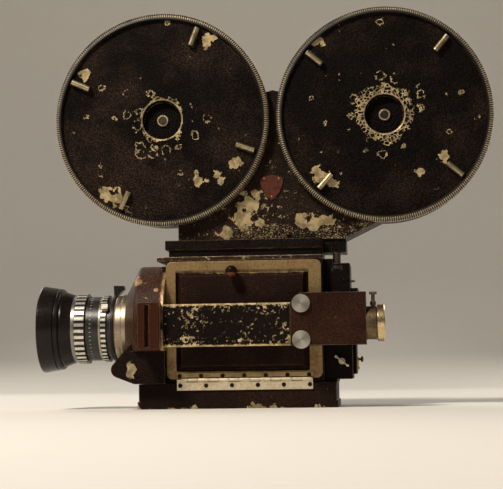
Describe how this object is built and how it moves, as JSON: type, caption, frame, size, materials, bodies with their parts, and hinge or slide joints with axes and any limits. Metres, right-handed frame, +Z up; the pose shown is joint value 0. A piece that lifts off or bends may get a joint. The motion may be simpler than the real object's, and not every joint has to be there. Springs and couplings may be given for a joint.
{
  "type": "cine camera",
  "caption": "Reflex film camera with a twin-drum magazine on top, a bottom-hinged door carrying the finder, a hooded lens with fluted rings and a side motor.",
  "frame": {"origin": "mouth of the tripod socket in the flat underside of the base", "axes": "+X towards the rear with the lens pointing along -X, +Z up, the door and finder face -Y"},
  "size_m": [0.4068, 0.1945, 0.353],
  "materials": {
    "black_paint": "worn black enamel on cast metal",
    "crinkle_paint": "dark brown crinkle enamel",
    "red_brown_paint": "red-brown enamel",
    "bare_brass": "worn bare brass with an olive tarnish",
    "bright_metal": "brushed bare metal",
    "dark_metal": "blackened metal",
    "machine_steel": "ground steel",
    "lens_black": "satin black anodised barrel",
    "zebra_ring": "fluted ring, bright lands and black flutes",
    "chrome_ring": "plated ring with a warm tarnish",
    "optical_glass": "coated optical glass",
    "mirror_face": "front-silvered shutter",
    "belt_leather": "flat leather belt"
  },
  "bodies": {
    "camera": {"base_plate": "crinkle_paint", "body_shell": "black_paint", "cap_plate": "crinkle_paint", "side_cover": "crinkle_paint", "mechanism_plate": "machine_steel", "magazine_seat": "black_paint", "front_housing": "crinkle_paint", "lower_front_cover": "crinkle_paint", "filter_block": "red_brown_paint", "finder_prism": "optical_glass", "aperture_plate": "machine_steel", "motor_housing": "black_paint", "rear_housing": "black_paint", "rear_upper_box": "black_paint", "terminal_plate": "bare_brass", "base_hinge_leaf": "bright_metal", "hinge_pin": "machine_steel", "lens_mount": "chrome_ring", "lens_barrel": "lens_black", "lens_hood": "lens_black", "lens_glasses": "optical_glass", "magazine_casting": "black_paint", "takeup_belt": "belt_leather", "shield_plate": "red_brown_paint"},
    "door": {"door_frame": "bare_brass", "door_panel": "crinkle_paint", "door_hinge_leaf": "bare_brass", "finder_tube": "black_paint", "finder_prism_housing": "crinkle_paint", "finder_screws": "bright_metal", "finder_lenses": "optical_glass", "eyepiece_tube": "dark_metal"},
    "latch": {"latch_knob": "dark_metal"},
    "eyepiece": {"eyepiece_ring": "chrome_ring"},
    "clamp_screw": {"eyepiece_clamp": "dark_metal"},
    "lens_lock": {"lens_lock_ring": "lens_black"},
    "aperture": {"aperture_ring": "zebra_ring"},
    "focus": {"focus_ring": "zebra_ring"},
    "feed_cover": {"feed_lid": "crinkle_paint", "feed_lid_rim": "bare_brass", "feed_lid_lugs": "bare_brass"},
    "takeup_cover": {"takeup_lid": "crinkle_paint", "takeup_lid_rim": "bare_brass", "takeup_lid_lugs": "bare_brass"},
    "feed_reel": {"feed_spindle": "machine_steel"},
    "takeup_reel": {"takeup_spindle": "machine_steel"},
    "drive": {"drive_shaft": "machine_steel", "inching_knob": "dark_metal"},
    "sprocket": {"film_sprocket": "machine_steel", "sprocket_gear": "bare_brass"},
    "shutter": {"mirror_shutter": "mirror_face"},
    "pulldown": {"claw": "machine_steel"},
    "gate_pressure": {"pressure_plate": "machine_steel"},
    "upper_keeper": {"keeper_roller_upper": "dark_metal"},
    "front_keeper": {"keeper_roller_front": "dark_metal"},
    "wing": {"wing_screw": "bare_brass"},
    "terminal_knob": {"rear_knob": "dark_metal"},
    "rear_pin": {"push_pin": "machine_steel"},
    "lock": {"magazine_lock": "dark_metal"}
  },
  "joints": [
    {"name": "door_swing", "type": "hinge", "parent": "camera", "child": "door", "pos_m": [0, -0.0376, 0.0253], "axis": [1, 0, 0], "range_deg": [0, 90]},
    {"name": "latch_turn", "type": "hinge", "parent": "door", "child": "latch", "pos_m": [-0.0025, -0.0385, 0.119], "axis": [0, 1, 0], "range_deg": [0, 90]},
    {"name": "eyepiece_focus", "type": "hinge", "parent": "door", "child": "eyepiece", "pos_m": [0.124, -0.0502, 0.0723], "axis": [1, 0, 0], "range_deg": [-60, 60]},
    {"name": "clamp_turn", "type": "hinge", "parent": "door", "child": "clamp_screw", "pos_m": [0.12, -0.0502, 0.0863], "axis": [0, 0, 1], "range_deg": [0, 180]},
    {"name": "lens_lock_turn", "type": "hinge", "parent": "camera", "child": "lens_lock", "pos_m": [-0.112, 0, 0.0723], "axis": [1, 0, 0], "range_deg": [0, 35]},
    {"name": "aperture_turn", "type": "hinge", "parent": "camera", "child": "aperture", "pos_m": [-0.119, 0, 0.0723], "axis": [1, 0, 0], "range_deg": [0, 60]},
    {"name": "focus_turn", "type": "hinge", "parent": "camera", "child": "focus", "pos_m": [-0.141, 0, 0.0723], "axis": [1, 0, 0], "range_deg": [0, 270]},
    {"name": "feed_lid_turn", "type": "hinge", "parent": "camera", "child": "feed_cover", "pos_m": [-0.065, -0.028, 0.257], "axis": [0, 1, 0], "range_deg": [0, 45]},
    {"name": "takeup_lid_turn", "type": "hinge", "parent": "camera", "child": "takeup_cover", "pos_m": [0.133, -0.028, 0.257], "axis": [0, 1, 0], "range_deg": [0, 45]},
    {"name": "feed_spin", "type": "hinge", "parent": "camera", "child": "feed_reel", "pos_m": [-0.065, 0, 0.257], "axis": [0, 1, 0], "continuous": true},
    {"name": "drive_spin", "type": "hinge", "parent": "camera", "child": "drive", "pos_m": [0.03336, 0.03, 0.07665], "axis": [0, 1, 0], "continuous": true},
    {"name": "takeup_spin", "type": "hinge", "parent": "camera", "child": "takeup_reel", "pos_m": [0.133, 0, 0.257], "axis": [0, 1, 0], "continuous": true},
    {"name": "sprocket_spin", "type": "hinge", "parent": "camera", "child": "sprocket", "pos_m": [0.012, 0, 0.098], "axis": [0, 1, 0], "continuous": true},
    {"name": "shutter_spin", "type": "hinge", "parent": "camera", "child": "shutter", "pos_m": [-0.0665, 0, 0.0553], "axis": [0.7071, 0.7071, 0], "continuous": true},
    {"name": "claw_stroke", "type": "slide", "parent": "camera", "child": "pulldown", "axis": [0, 0, 1], "range_m": [-0.019, 0]},
    {"name": "pressure_lift", "type": "slide", "parent": "camera", "child": "gate_pressure", "axis": [1, 0, 0], "range_m": [0, 0.002], "stiffness_N_per_m": 400},
    {"name": "upper_keeper_spin", "type": "hinge", "parent": "camera", "child": "upper_keeper", "pos_m": [0.02165, 0, 0.11471], "axis": [0, 1, 0], "continuous": true},
    {"name": "front_keeper_spin", "type": "hinge", "parent": "camera", "child": "front_keeper", "pos_m": [-0.0073, 0, 0.098], "axis": [0, 1, 0], "continuous": true},
    {"name": "wing_turn", "type": "hinge", "parent": "camera", "child": "wing", "pos_m": [0.0917, -0.03, 0.04], "axis": [0, 1, 0], "range_deg": [0, 180]},
    {"name": "terminal_turn", "type": "hinge", "parent": "camera", "child": "terminal_knob", "pos_m": [0.106, -0.011, 0.0415], "axis": [1, 0, 0], "range_deg": [0, 90]},
    {"name": "pin_push", "type": "slide", "parent": "camera", "child": "rear_pin", "axis": [-1, 0, 0], "range_m": [0, 0.002], "stiffness_N_per_m": 300},
    {"name": "lock_turn", "type": "hinge", "parent": "camera", "child": "lock", "pos_m": [0.0885, -0.0185, 0.124], "axis": [0, 0, 1], "range_deg": [0, 180]}
  ],
  "couplings": [
    {"joint": "sprocket_spin", "follows": "drive_spin", "ratio": -0.25},
    {"joint": "takeup_spin", "follows": "drive_spin", "ratio": -0.125},
    {"joint": "shutter_spin", "follows": "drive_spin", "ratio": 1}
  ]
}
